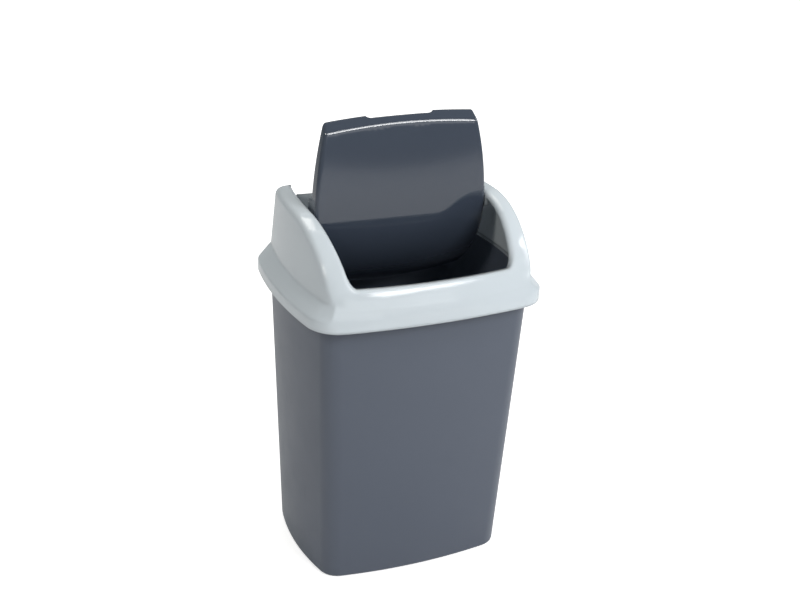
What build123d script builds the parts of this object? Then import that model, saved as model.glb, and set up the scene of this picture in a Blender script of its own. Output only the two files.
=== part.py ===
from build123d import *
import os
from math import hypot, sqrt

# Countertop swing-lid bin, 10 litre.  Millimetres, +Z up, front of the bin towards -Y.
# The origin is on the counter, under the middle of the bucket.
# Three mouldings: a tapered bucket, a hooded lid frame that sits on its rim, and a flap
# that swings on two pins in the lid frame.  The flap is drawn standing open.

# ---------------------------------------------------------------- bucket
bucket_height = 300.0
bucket_base_half_width = 102.3
bucket_base_half_depth = 78.0
bucket_top_half_width = 114.4
bucket_top_half_depth = 90.0
bucket_corner = 20.6
bucket_wall = 1.8
bucket_floor = 2.2
bucket_base_edge = 4.0
base_recess = 1.6
base_foot_width = 9.0
side_bow = 12.3
front_bow = 10.3
rim_thickness = 1.8
rim_drop = 15.0
rim_step = 1.5

# ---------------------------------------------------------------- lid frame
# The skirt hangs outside the bucket's rim, the shoulder leans in from it and the hood stands on that.
lid_wall = 2.4
lid_seat_gap = 0.5
skirt_drop = 18.0
skirt_height = 10.5
skirt_overhang = 10.6
skirt_corner = 32.8
shoulder_rise = 7.0
shoulder_inset_side = 12.5
shoulder_inset_front = 0.6
shoulder_inset_rear = 7.6
hood_corner = 27.0
hood_rear_corner = 17.0
hood_lean_side = 5.0
hood_lean_rear = 0.5
hood_rise = 66.5
arch_drawback = 3.5
arch_centre_y = -7.5
arch_bow_radius = 480.0
crest_fall_radius = 800.0
top_skim = 0.02
hood_edge_round = 6.5
hood_inner_round = 4.5
side_band = 23.1
front_band = 17.3
opening_side_radius = 370.0
opening_corner = 10.0
opening_edge_round = 5.0
opening_edge_below = 0.6
arch_overrun = 22.0
square_end_setback = 1.5
rear_wall_drop = 15.5
rear_wall_reach = 14.0
flange_slot_depth = 9.5
seat_thickness = 2.4
seat_reach = 0.3
lip_underside = 1.6

skirt_bottom = bucket_height - skirt_drop
skirt_top = skirt_bottom + skirt_height
skirt_half_width = bucket_top_half_width + skirt_overhang
skirt_half_depth = bucket_top_half_depth + skirt_overhang
shoulder_top = bucket_height + shoulder_rise
hood_half_width = skirt_half_width - shoulder_inset_side
hood_front = skirt_half_depth - shoulder_inset_front
hood_rear = skirt_half_depth - shoulder_inset_rear
crest_height = bucket_height + hood_rise
rear_wall_top = crest_height - rear_wall_drop
opening_half_width = hood_half_width - side_band
opening_front = hood_front - front_band
arch_radius = hood_front - arch_drawback
arch_axis_y = arch_bow_radius - opening_front
arch_centre_z = crest_height - arch_radius

# ---------------------------------------------------------------- swing flap and its pivot
pivot_y = 0.5
pivot_drop = 11.5
flap_open_angle = 90.0
flap_gap = 1.0
flap_top_gap = 0.5
flap_wall = 2.0
flap_depth = 12.0
flap_rear_radius = 580.0
flap_rim_rear_radius = 1090.0
flap_front_depth = 9.3
flap_corner = 9.0
lip_bow = 2.6
lip_run = 8.5
lip_fall = 10.7
lip_clearance = 0.8
lip_path_drop = 3.0
flap_edge_round = 3.5
flap_bend_round = 8.0
recess_half_width = 37.0
recess_rise = 2.2
recess_round = 8.0
lug_half_length = 18.0
lug_reach = 16.5
lug_round = 3.0
lug_thickness = 1.8
pin_radius = 2.5
pin_clearance = 0.05
pin_end_gap = 0.4
ear_gap = 0.8
ear_thickness = 4.0
ear_radius = 4.5
ear_below_lip = 0.3
ear_hanger_shift = 1.1

pivot_z = crest_height - pivot_drop
flap_half_width = opening_half_width - flap_gap
flap_rear_reach = hood_rear - lip_run
flap_front_sweep = opening_front + flap_front_depth
far = bucket_height


def bowed_corner(half_width, half_depth, corner):
    """The rounded corner between a bowed end and a bowed side: its end point, middle and side point."""
    end_radius = half_width**2 / (2 * front_bow)
    side_radius = half_depth**2 / (2 * side_bow)
    end_y = half_depth - end_radius
    side_x = half_width - side_radius
    reach_end = end_radius - corner
    reach_side = side_radius - corner
    span = hypot(side_x, end_y)
    along = (reach_end**2 - reach_side**2 + span**2) / (2 * span)
    across = sqrt(reach_end**2 - along**2)
    centre = Vector(
        (along * side_x - across * end_y) / span,
        end_y - (along * end_y + across * side_x) / span)
    end_point = Vector(0, end_y) + (centre - Vector(0, end_y)) * (end_radius / reach_end)
    side_point = Vector(side_x, 0) + (centre - Vector(side_x, 0)) * (side_radius / reach_side)
    middle = centre + (end_point + side_point - centre * 2).normalized() * corner
    return end_point, middle, side_point


def bowed_outline(half_width, half_depth, corner, z, centre_y=0.0, rear_corner=None):
    """Rectangle with outward-bowed sides and round corners, as a face at height z."""
    front_end, front_middle, front_side = bowed_corner(half_width, half_depth, corner)
    rear_end, rear_middle, rear_side = bowed_corner(half_width, half_depth, rear_corner or corner)
    edges = [
        ThreePointArc((-front_end.X, -front_end.Y), (0, -half_depth), (front_end.X, -front_end.Y)),
        ThreePointArc((-rear_end.X, rear_end.Y), (0, half_depth), (rear_end.X, rear_end.Y))]
    for sign in (1, -1):
        front_side_point = (front_side.X * sign, -front_side.Y)
        rear_side_point = (rear_side.X * sign, rear_side.Y)
        edges += [
            ThreePointArc(front_side_point, (half_width * sign, 0), rear_side_point),
            ThreePointArc((front_end.X * sign, -front_end.Y),
                          (front_middle.X * sign, -front_middle.Y), front_side_point),
            ThreePointArc((rear_end.X * sign, rear_end.Y),
                          (rear_middle.X * sign, rear_middle.Y), rear_side_point)]
    return Pos(0, centre_y, z) * make_face(edges)


def bucket_outline(z, inset=0.0):
    share = z / bucket_height
    half_width = bucket_base_half_width + (bucket_top_half_width - bucket_base_half_width) * share
    half_depth = bucket_base_half_depth + (bucket_top_half_depth - bucket_base_half_depth) * share
    return bowed_outline(half_width - inset, half_depth - inset, bucket_corner - inset, z)


def skirt_outline(z, inset=0.0):
    return bowed_outline(skirt_half_width - inset, skirt_half_depth - inset, skirt_corner - inset, z)


def hood_outline(z, inset=0.0):
    lean = (z - shoulder_top) / (crest_height - shoulder_top)
    rear = hood_rear - hood_lean_rear * lean - inset
    front = hood_front - inset
    half_width = hood_half_width - hood_lean_side * lean - inset
    return bowed_outline(half_width, (front + rear) / 2, hood_corner - inset, z, (rear - front) / 2,
                         hood_rear_corner - inset)


def arch_block(inset=0.0):
    """Everything under the arched top of the hood: a side profile swung about a far upright axis."""
    radius = arch_radius - inset
    crown = (arch_centre_y, arch_centre_z + radius)
    front = (arch_centre_y - radius, arch_centre_z)
    foot = arch_centre_z - 40
    rear = (far, arch_height(0, far, inset))
    outline = [
        RadiusArc(front, crown, radius),
        RadiusArc(crown, rear, crest_fall_radius - inset),
        Polyline(rear, (far, foot), (front[0], foot), front)]
    upright = Plane(origin=(0, 0, 0), x_dir=(0, 1, 0), z_dir=(1, 0, 0)) * make_face(outline)
    axis = Axis((0, arch_axis_y, 0), (0, 0, 1))
    return revolve(upright, axis, 50).rotate(axis, -25)


def arch_height(x, y, inset=0.0):
    """Height of the arch surface over a point in plan."""
    along = arch_axis_y - hypot(x, y - arch_axis_y) - arch_centre_y
    radius = arch_radius - inset
    if along < 0:
        return arch_centre_z + sqrt(radius**2 - along**2)
    fall_radius = crest_fall_radius - inset
    return arch_centre_z + radius - fall_radius + sqrt(fall_radius**2 - along**2)


def on_arch(edge, inset=0.0):
    """True for an edge that lies on the arch surface all along."""
    points = [edge.position_at(share) for share in (0.1, 0.5, 0.9)]
    return all(abs(point.Z - arch_height(point.X, point.Y, inset)) < 0.02 for point in points)


def opening_sketch(offset=0.0):
    """Plan of the flap opening: two bowed sides and a bowed front with round corners, open to the rear."""
    side_shift = opening_side_radius - opening_half_width
    sides = (Pos(-side_shift, pivot_y) * Circle(opening_side_radius + offset)
             & Pos(side_shift, pivot_y) * Circle(opening_side_radius + offset))
    sketch = sides & Pos(0, arch_axis_y) * Circle(arch_bow_radius + offset)
    front_corners = sketch.vertices().sort_by(Axis.Y)[:2]
    return fillet(front_corners, opening_corner + offset)


def opening_block(offset=0.0):
    return extrude(opening_sketch(offset), far * 2)


def lipped_arch():
    """The arch block with the flap opening cut through it and the opening's upper edge rounded.

    It lies a hair under the hood's own arch, so the two tops never share a surface.
    """
    beyond = Pos(0, skirt_half_depth + arch_overrun + far) * Box(far * 4, far * 2, far * 4)
    block = arch_block(top_skim) - opening_block() - beyond
    lips = [edge for edge in block.edges().filter_by_position(Axis.Z, shoulder_top, crest_height + 1)
            if abs(edge.center().X) < opening_half_width and edge.center().Y < hood_rear
            and on_arch(edge, top_skim)]
    square_ends = block & Pos(0, hood_rear - rear_wall_reach + square_end_setback) * Box(
        far * 4, far * 4, far * 4, align=(Align.CENTER, Align.MIN, Align.CENTER))
    rear_ledge = opening_block() & Pos(0, hood_rear - rear_wall_reach, rear_wall_top - far) * Box(
        far * 4, rear_wall_reach * 2, far, align=(Align.CENTER, Align.MIN, Align.MIN))
    return fillet(lips, opening_edge_round) + square_ends + rear_ledge


def hood_lump(inset=0.0):
    """Skirt, shoulder and hood in one closed lump under the arch."""
    low = skirt_bottom - inset
    bend = skirt_top - inset / 2
    crease = shoulder_top - inset / 2
    top = crest_height + 10
    skirt = loft([skirt_outline(low, inset), skirt_outline(bend, inset)], ruled=True)
    shoulder = loft([skirt_outline(bend, inset), hood_outline(crease, inset)], ruled=True)
    hood = loft([hood_outline(crease, inset), hood_outline(top, inset)], ruled=True)
    return (skirt + shoulder + hood) & arch_block(inset)


def rounded_lump(inset, brow_round):
    """The hood lump with the brow around its sides and rear rounded over."""
    body = hood_lump(inset)
    brow = [edge for edge in body.edges().filter_by_position(Axis.Z, shoulder_top, crest_height + 10)
            if on_arch(edge, inset) and max(abs(edge.center().X), edge.center().Y) > 50]
    return fillet(brow, brow_round)


def flap_surface(drop, rear_radius):
    """Solid under the flap's swept top surface, lowered square to it by drop."""
    radius = arch_radius - opening_edge_round - flap_top_gap - drop
    crown = (arch_centre_y, arch_centre_z + radius)
    front = (arch_centre_y - radius, arch_centre_z)
    reach = pivot_y + flap_rear_reach * 2
    along = reach - arch_centre_y
    rear = (reach, crown[1] - rear_radius + sqrt(rear_radius**2 - along**2))
    foot = arch_centre_z - 40
    outline = [
        RadiusArc(front, crown, radius),
        RadiusArc(crown, rear, rear_radius),
        Polyline(rear, (reach, foot), (front[0], foot), front)]
    upright = Plane(origin=(0, 0, 0), x_dir=(0, 1, 0), z_dir=(1, 0, 0)) * make_face(outline)
    axis = Axis((0, arch_axis_y, 0), (0, 0, 1))
    return revolve(upright, axis, 50).rotate(axis, -25)


def lip_cone(inset):
    """Everything in front of the flap's sloping rear lip, moved forward square to the lip by inset."""
    bend_y = pivot_y + flap_rear_reach + lip_bow
    bend_half_width = flap_half_width - flap_rear_reach**2 / (2 * opening_side_radius)
    bow_radius = bend_half_width**2 / (2 * lip_bow)
    slope = lip_run / lip_fall
    shift = inset * hypot(1, slope)
    up = 30.0
    down = 60.0
    return Pos(0, bend_y - bow_radius, pivot_z + (up - down) / 2) * Cone(
        bow_radius + slope * down - shift, bow_radius - slope * up - shift, up + down)


def flap_plan(inset):
    """Flap plan: the opening drawn in by the running gap, square across the rear."""
    offset = -flap_gap - inset
    side_shift = opening_side_radius - opening_half_width
    sides = (Pos(-side_shift, pivot_y) * Circle(opening_side_radius + offset)
             & Pos(side_shift, pivot_y) * Circle(opening_side_radius + offset))
    sketch = sides & Pos(0, arch_axis_y) * Circle(arch_bow_radius + offset)
    front_corners = sketch.vertices().sort_by(Axis.Y)[:2]
    return extrude(fillet(front_corners, flap_corner - inset), far * 2)


# ---------------------------------------------------------------- bucket
def tapered_bucket(z_low, z_high, inset):
    return loft([bucket_outline(z_low, inset), bucket_outline(z_high, inset)], ruled=True)


outside = tapered_bucket(0, bucket_height, 0)
outside = fillet(outside.edges().filter_by_position(Axis.Z, -1, 1), bucket_base_edge)
inside = tapered_bucket(bucket_floor + base_recess, bucket_height + 10, bucket_wall)
inside = fillet(inside.edges().group_by(Axis.Z)[0], bucket_base_edge)
foot_recess = extrude(bucket_outline(0, base_foot_width), base_recess)
rim_gap = lid_wall + lid_seat_gap
rim_top = bucket_height - rim_step


def rim_zone(top):
    return Pos(0, 0, bucket_height - rim_drop) * Box(
        far * 2, far * 2, top - (bucket_height - rim_drop), align=(Align.CENTER, Align.CENTER, Align.MIN))


rim = (rounded_lump(rim_gap, hood_inner_round) & rim_zone(rim_top)) - (
    hood_lump(rim_gap + rim_thickness) & rim_zone(rim_top - rim_thickness))
bucket = (outside + rim) - inside - foot_recess

# ---------------------------------------------------------------- lid frame
# The shell is the outer lump less an inner one.  Around the opening a short collar turns down,
# and across the rear a low wall closes the hood under the flap's lip.
collar_underside = arch_block(opening_edge_round + opening_edge_below)
collar = opening_block(lid_wall) - collar_underside
lip_backing = opening_block(lid_wall + lip_underside) - arch_block(lid_wall + lip_underside)
seat_block = extrude(skirt_outline(bucket_height, lid_wall), seat_thickness)
seat = seat_block - extrude(bucket_outline(bucket_height, bucket_wall - seat_reach), far)
hollow = rounded_lump(lid_wall, hood_inner_round) - collar - lip_backing - seat
lid_shell = (rounded_lump(0, hood_edge_round) & lipped_arch()) - hollow

# A plate hangs from each side band to carry the flap's pin, clear of the opening's rounded lip.
ear_inner = flap_half_width + ear_gap
ear_top = crest_height - opening_edge_round - ear_below_lip
hanger_top = crest_height - lid_wall
ears = []
for x_sign in (1, -1):
    middle = x_sign * (ear_inner + ear_thickness / 2)
    plate = Pos(middle, pivot_y, pivot_z) * (
        Rot(0, 90, 0) * Cylinder(ear_radius, ear_thickness)
        + Box(ear_thickness, ear_radius * 2, ear_top - pivot_z,
              align=(Align.CENTER, Align.CENTER, Align.MIN)))
    hanger = Pos(middle + x_sign * ear_hanger_shift, pivot_y, pivot_z) * Box(
        ear_thickness - ear_hanger_shift * 2, ear_radius * 2, hanger_top - pivot_z,
        align=(Align.CENTER, Align.CENTER, Align.MIN))
    ears.append(plate + hanger)
pin_bore = Pos(0, pivot_y, pivot_z) * Rot(0, 90, 0) * Cylinder(
    pin_radius + pin_clearance, (ear_inner + ear_thickness) * 2 + 1)
lip_path = (Pos(0, 0, pivot_z - flap_depth - lip_path_drop) * Box(
    far * 2, far * 2, far, align=(Align.CENTER, Align.CENTER, Align.MIN))
    & opening_block(1)) - lip_cone(flap_wall + lip_clearance)
tip_reach = flap_rear_reach + lip_run
tip_half_width = flap_half_width - tip_reach**2 / (2 * opening_side_radius)
slot_inner = tip_half_width - flap_wall - lip_clearance
slot_block = Pos(0, hood_rear - rear_wall_reach, rear_wall_top - flange_slot_depth) * (
    Box(far * 2, far, far, align=(Align.CENTER, Align.MIN, Align.MIN))
    - Box(slot_inner * 2, far * 2, far * 2))
flange_slots = slot_block & opening_block(0.3)
lid_frame = lid_shell + ears[0] + ears[1] - pin_bore - lip_path - flange_slots

# ---------------------------------------------------------------- swing flap
# A shallow tray with a 45-degree lip across its rear, built lying shut and then swung open.
front_swing = Pos(0, pivot_y, pivot_z) * (
    Box(far * 2, far, far, align=(Align.CENTER, Align.MAX, Align.MAX))
    - Rot(0, 90, 0) * Cylinder(flap_front_sweep, far * 2))
tray = flap_surface(0, flap_rear_radius) & flap_plan(0) & lip_cone(0)
bend_edges = [edge for edge in tray.edges()
              if abs(edge.center().X) < 1 and edge.center().Y > pivot_y + flap_rear_reach
              and edge.center().Z > pivot_z - lip_fall]
tray = fillet(bend_edges, flap_bend_round)
outer_edges = [edge for edge in tray.edges()
               if edge.geom_type != GeomType.LINE and edge.center().Z > pivot_z - flap_front_sweep / 2
               and not (abs(edge.center().X) < 1 and edge.center().Y > 0)]
tray = fillet(outer_edges, flap_edge_round)
tray_hollow = (flap_surface(flap_wall, flap_rear_radius - flap_wall)
               & flap_plan(flap_wall) & lip_cone(flap_wall))
tray = tray - flap_surface(flap_depth, flap_rim_rear_radius) - front_swing
recess_top = pivot_z - lip_fall + recess_rise
recess_profile = Rot(90, 0, 0) * RectangleRounded(recess_half_width * 2, recess_round * 4, recess_round)
finger_recess = Pos(0, pivot_y + flap_rear_reach + lip_run, recess_top - recess_round * 2) * extrude(
    recess_profile, lip_run * 3, both=True)
pin_length = ear_inner + ear_thickness + pin_end_gap
pins = Pos(0, pivot_y, pivot_z) * Rot(0, 90, 0) * Cylinder(pin_radius, pin_length * 2)
pin_core = Pos(0, pivot_y, pivot_z) * Rot(0, 90, 0) * Cylinder(
    pin_radius + 1, (flap_half_width - flap_wall) * 2)
# Round the pins the side flanges deepen into lugs.
lug_side = flap_half_width - flap_wall / 2
lug_pair = Rot(0, 90, 0) * (
    extrude(RectangleRounded(lug_reach * 2, lug_half_length * 2, lug_round), lug_side, both=True)
    - Box(far, far, (lug_side - lug_thickness) * 2))
lugs = Pos(0, pivot_y, pivot_z) * lug_pair & flap_surface(flap_wall / 2, flap_rear_radius)
swing_flap = tray - tray_hollow - finger_recess + lugs + (pins - pin_core)
pivot_axis = Axis((0, pivot_y, pivot_z), (1, 0, 0))
swing_flap = swing_flap.rotate(pivot_axis, flap_open_angle)

# ---------------------------------------------------------------- files
os.makedirs("parts", exist_ok=True)
export_step(bucket, "parts/bucket.step")
export_step(lid_frame, "parts/lid_frame.step")
export_step(swing_flap, "parts/swing_flap.step")
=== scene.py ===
import bpy
from mathutils import Matrix, Vector

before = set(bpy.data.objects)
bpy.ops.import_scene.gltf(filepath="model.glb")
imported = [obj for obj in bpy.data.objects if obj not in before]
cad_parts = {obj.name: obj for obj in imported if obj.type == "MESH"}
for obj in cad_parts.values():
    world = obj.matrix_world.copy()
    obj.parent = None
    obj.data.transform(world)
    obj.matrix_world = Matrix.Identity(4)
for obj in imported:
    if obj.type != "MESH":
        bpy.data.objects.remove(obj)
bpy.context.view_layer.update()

scene = bpy.context.scene
scene.view_settings.view_transform = "Standard"
bpy.ops.object.select_all(action="DESELECT")

# ------------------------------------------------------------------ the counter and the studio
# The bin stands on a plain pale counter that fades to white with distance.  The room around is
# dim, and the light comes from soft boxes: a key box high on the right of the front, a weak wide
# one in front, one on each side, one over the back, and a long narrow strip.
counter_width = 5.0
counter_depth = 7.2
counter_middle_y = -1.0
counter_grey = 0.78
white_from, white_to = 0.5, 1.8
near_glow, far_glow = 0.66, 1.0


def feed(links, socket, value):
    """Sets the socket to a number, or links another node's output to it."""
    if isinstance(value, float):
        socket.default_value = value
    else:
        links.new(value, socket)


bpy.ops.mesh.primitive_plane_add(size=1, location=(0, 0, 0))
counter = bpy.context.active_object
counter.name = "counter"
for corner in counter.data.vertices:
    corner.co.x *= counter_width
    corner.co.y = corner.co.y * counter_depth + counter_middle_y
counter_paint = bpy.data.materials.new("counter_paint")
counter_paint.use_nodes = True
nodes, links = counter_paint.node_tree.nodes, counter_paint.node_tree.links
nodes.clear()
diffuse = nodes.new("ShaderNodeBsdfDiffuse")
diffuse.inputs["Color"].default_value = (counter_grey, counter_grey, counter_grey, 1)
path = nodes.new("ShaderNodeLightPath")
output = nodes.new("ShaderNodeOutputMaterial")
spot = nodes.new("ShaderNodeTexCoord")
distance = nodes.new("ShaderNodeVectorMath")
distance.operation = "LENGTH"
links.new(spot.outputs["Object"], distance.inputs[0])
fade = nodes.new("ShaderNodeMapRange")
for socket, value in (
        ("From Min", white_from), ("From Max", white_to),
        ("To Min", near_glow), ("To Max", far_glow)):
    fade.inputs[socket].default_value = value
links.new(distance.outputs["Value"], fade.inputs["Value"])
layer = diffuse
for ray, colour, brightness in (
        ("Is Camera Ray", (1, 1, 1, 1), fade.outputs["Result"]),
        ("Is Glossy Ray", (0.80, 0.90, 1, 1), 0.15)):
    glow = nodes.new("ShaderNodeEmission")
    glow.inputs["Color"].default_value = colour
    strength = nodes.new("ShaderNodeMath")
    strength.operation = "MULTIPLY"
    feed(links, strength.inputs[1], brightness)
    links.new(path.outputs[ray], strength.inputs[0])
    links.new(strength.outputs[0], glow.inputs["Strength"])
    both = nodes.new("ShaderNodeAddShader")
    links.new(layer.outputs[0], both.inputs[0])
    links.new(glow.outputs[0], both.inputs[1])
    layer = both
links.new(layer.outputs[0], output.inputs["Surface"])
counter.data.materials.append(counter_paint)

world = bpy.data.worlds.new("studio_air")
scene.world = world
world.use_nodes = True
nodes, links = world.node_tree.nodes, world.node_tree.links
air = nodes["Background"]
air.inputs["Color"].default_value = (0.92, 0.96, 1, 1)
air.inputs["Strength"].default_value = 0.22
seen = nodes.new("ShaderNodeLightPath")
layer = air
for ray, colour, brightness in (
        ("Is Glossy Ray", (0.85, 0.94, 1, 1), 0.33),
        ("Is Camera Ray", (1, 1, 1, 1), 1.05)):
    sweep = nodes.new("ShaderNodeBackground")
    sweep.inputs["Color"].default_value = colour
    sweep.inputs["Strength"].default_value = brightness
    choice = nodes.new("ShaderNodeMixShader")
    links.new(seen.outputs[ray], choice.inputs[0])
    links.new(layer.outputs[0], choice.inputs[1])
    links.new(sweep.outputs[0], choice.inputs[2])
    layer = choice
links.new(layer.outputs[0], nodes["World Output"].inputs["Surface"])


def soft_box(name, place, aim, width, height, power, colour=(1, 1, 1)):
    """A rectangular studio lamp at place, facing aim."""
    lamp_data = bpy.data.lights.new(name, "AREA")
    lamp_data.shape = "RECTANGLE"
    lamp_data.size = width
    lamp_data.size_y = height
    lamp_data.energy = power
    lamp_data.color = colour
    lamp = bpy.data.objects.new(name, lamp_data)
    scene.collection.objects.link(lamp)
    turn = (Vector(aim) - Vector(place)).to_track_quat("-Z", "Y")
    lamp.matrix_world = Matrix.Translation(place) @ turn.to_matrix().to_4x4()


soft_box("key_box", place=(0.66, -1.50, 1.58), aim=(0, 0, 0.35),
         width=0.90, height=0.56, power=14.5)
soft_box("front_box", place=(0.45, -2.2, 0.85), aim=(0, 0, 0.25),
         width=1.3, height=0.8, power=3.5)
soft_box("left_box", place=(-1.40, -0.75, 1.70), aim=(0, 0, 0.30),
         width=0.35, height=0.6, power=10, colour=(1, 0.96, 0.89))
soft_box("right_box", place=(1.9, -0.5, 1.30), aim=(0, 0, 0.30),
         width=0.5, height=1.0, power=14)
soft_box("back_box", place=(0.1, 1.0, 1.9), aim=(0, 0, 0.35),
         width=1.4, height=0.8, power=14.5, colour=(1, 0.96, 0.90))
soft_box("strip_box", place=(0.95, -2.2, 1.75), aim=(0, 0, 0.42),
         width=1.3, height=0.25, power=12)

# The camera looks down on the bin from its left front, rolled slightly.
camera_place = (-0.5400, -1.1799, 0.8543)
sight = Vector((0.3812, 0.8260, -0.4152)).normalized()
level_right = Vector((0.9080, -0.4190, 0)).normalized()
roll_cos, roll_sin = 0.99893, 0.04624
camera_data = bpy.data.cameras.new("camera")
camera_data.lens = 65.17
camera_data.sensor_width = 36
camera_data.clip_end = 50
camera = bpy.data.objects.new("camera", camera_data)
scene.collection.objects.link(camera)
level_up = level_right.cross(sight)
camera_right = level_right * roll_cos + level_up * roll_sin
camera_up = level_up * roll_cos - level_right * roll_sin
turn = Matrix((camera_right, camera_up, -sight)).transposed().to_4x4()
camera.matrix_world = Matrix.Translation(camera_place) @ turn
scene.camera = camera


# ------------------------------------------------------------------ bucket
# The bucket is one injection moulding in mid grey polypropylene with a fine satin skin.
# Its walls lean out to a rim that the lid frame sits over.
def moulded_skin_group():
    """Colour, roughness and height of a moulded plastic skin, from three scales of noise."""
    group = bpy.data.node_groups.new("moulded_skin", "ShaderNodeTree")
    face = group.interface
    face.new_socket("Colour", in_out="INPUT", socket_type="NodeSocketColor")
    for name in ("Cloudiness", "Roughness", "Roughness Variation", "Grain Scale", "Grain Height",
                 "Scuff"):
        face.new_socket(name, in_out="INPUT", socket_type="NodeSocketFloat")
    face.new_socket("Colour", in_out="OUTPUT", socket_type="NodeSocketColor")
    face.new_socket("Roughness", in_out="OUTPUT", socket_type="NodeSocketFloat")
    face.new_socket("Height", in_out="OUTPUT", socket_type="NodeSocketFloat")
    cloud_scale, handling_scale, scratch_scale, wave_scale = 14.0, 42.0, 380.0, 26.0
    scratch_squeeze = (1.0, 1.0, 0.06)
    scratch_threshold = 0.70
    wave_height = 0.6
    noise_middle = 0.5
    nodes, links = group.nodes, group.links
    given = nodes.new("NodeGroupInput")
    result = nodes.new("NodeGroupOutput")
    place = nodes.new("ShaderNodeTexCoord")

    def noise(scale, detail, where=place.outputs["Object"]):
        node = nodes.new("ShaderNodeTexNoise")
        feed(links, node.inputs["Scale"], scale)
        node.inputs["Detail"].default_value = detail
        links.new(where, node.inputs["Vector"])
        return node.outputs["Fac"]

    def maths(operation, first, second):
        node = nodes.new("ShaderNodeMath")
        node.operation = operation
        feed(links, node.inputs[0], first)
        feed(links, node.inputs[1], second)
        return node.outputs[0]

    cloud = maths("SUBTRACT", noise(cloud_scale, detail=3.0), noise_middle)
    shift = maths("MULTIPLY", cloud, given.outputs["Cloudiness"])
    brightness = maths("ADD", shift, 1.0)
    tint = nodes.new("ShaderNodeVectorMath")
    tint.operation = "SCALE"
    links.new(given.outputs["Colour"], tint.inputs[0])
    links.new(brightness, tint.inputs["Scale"])
    links.new(tint.outputs[0], result.inputs["Colour"])

    handling = maths("SUBTRACT", noise(handling_scale, detail=5.0), noise_middle)
    squeeze = nodes.new("ShaderNodeMapping")
    squeeze.inputs["Scale"].default_value = scratch_squeeze
    links.new(place.outputs["Object"], squeeze.inputs["Vector"])
    scratches = noise(scratch_scale, detail=2.0, where=squeeze.outputs[0])
    marks = maths("GREATER_THAN", scratches, scratch_threshold)
    rough = maths("ADD", maths("MULTIPLY", handling, given.outputs["Roughness Variation"]),
                  given.outputs["Roughness"])
    rough = maths("ADD", rough, maths("MULTIPLY", marks, given.outputs["Scuff"]))
    links.new(rough, result.inputs["Roughness"])

    grain = noise(given.outputs["Grain Scale"], detail=1.0)
    wave = noise(wave_scale, detail=1.0)
    height = maths("MULTIPLY", grain, given.outputs["Grain Height"])
    height = maths("ADD", height, maths("MULTIPLY", wave, wave_height))
    links.new(height, result.inputs["Height"])
    return group


moulded_skin = moulded_skin_group()


def plastic(name, colour, roughness, cloudiness, grain_scale, grain_height, bump, scuff, coat,
            soft_edge):
    """A moulded plastic with its own colour, gloss and grain, its creases softened by soft_edge."""
    plastic_ior = 1.49
    variation_share = 0.25
    coat_roughness_share = 0.5
    material = bpy.data.materials.new(name)
    material.use_nodes = True
    nodes, links = material.node_tree.nodes, material.node_tree.links
    shader = nodes["Principled BSDF"]
    skin = nodes.new("ShaderNodeGroup")
    skin.node_tree = moulded_skin
    skin.inputs["Colour"].default_value = (*colour, 1)
    skin.inputs["Cloudiness"].default_value = cloudiness
    skin.inputs["Roughness"].default_value = roughness
    skin.inputs["Roughness Variation"].default_value = roughness * variation_share
    skin.inputs["Grain Scale"].default_value = grain_scale
    skin.inputs["Grain Height"].default_value = grain_height
    skin.inputs["Scuff"].default_value = scuff
    rounding = nodes.new("ShaderNodeBevel")
    rounding.inputs["Radius"].default_value = soft_edge
    relief = nodes.new("ShaderNodeBump")
    links.new(rounding.outputs[0], relief.inputs["Normal"])
    relief.inputs["Distance"].default_value = bump
    relief.inputs["Strength"].default_value = 1.0
    links.new(skin.outputs["Height"], relief.inputs["Height"])
    links.new(relief.outputs[0], shader.inputs["Normal"])
    links.new(skin.outputs["Colour"], shader.inputs["Base Color"])
    links.new(skin.outputs["Roughness"], shader.inputs["Roughness"])
    shader.inputs["IOR"].default_value = plastic_ior
    shader.inputs["Coat Weight"].default_value = coat
    shader.inputs["Coat Roughness"].default_value = roughness * coat_roughness_share
    return material


def finish_moulding(piece, material):
    """Gives the piece its plastic, joins its loose triangles and shades its curves smooth."""
    join_distance = 0.00002
    edge_angle = 0.42
    piece.data.materials.clear()
    piece.data.materials.append(material)
    for face in piece.data.polygons:
        face.use_smooth = True
    weld = piece.modifiers.new("weld", "WELD")
    weld.merge_threshold = join_distance
    split = piece.modifiers.new("edges", "EDGE_SPLIT")
    split.split_angle = edge_angle


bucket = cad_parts["bucket"]
bucket_plastic = plastic(
    "bucket_plastic", colour=(0.090, 0.107, 0.142), roughness=0.36, cloudiness=0.05,
    grain_scale=2200.0, grain_height=0.5, bump=0.00006, scuff=0.05, coat=0.0, soft_edge=0.001)
finish_moulding(bucket, bucket_plastic)

# ------------------------------------------------------------------ lid frame
# The lid frame is one light grey moulding with a polished skin: a skirt over the bucket's
# rim, a sloping shoulder, and a hood whose arched sides carry the flap.
lid_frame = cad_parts["lid_frame"]
lid_plastic = plastic(
    "lid_plastic", colour=(0.600, 0.660, 0.700), roughness=0.09, cloudiness=0.025,
    grain_scale=1800.0, grain_height=0.2, bump=0.00003, scuff=0.06, coat=0.0, soft_edge=0.0045)
finish_moulding(lid_frame, lid_plastic)

# ------------------------------------------------------------------ swing flap
# The flap is one dark grey moulding, polished like the lid frame, with flanges all round
# for stiffness and two short pins that snap into the lid frame's ears.
swing_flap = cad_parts["swing_flap"]
flap_plastic = plastic(
    "flap_plastic", colour=(0.044, 0.056, 0.080), roughness=0.06, cloudiness=0.03,
    grain_scale=1800.0, grain_height=0.15, bump=0.00003, scuff=0.05, coat=0.5, soft_edge=0.001)
finish_moulding(swing_flap, flap_plastic)
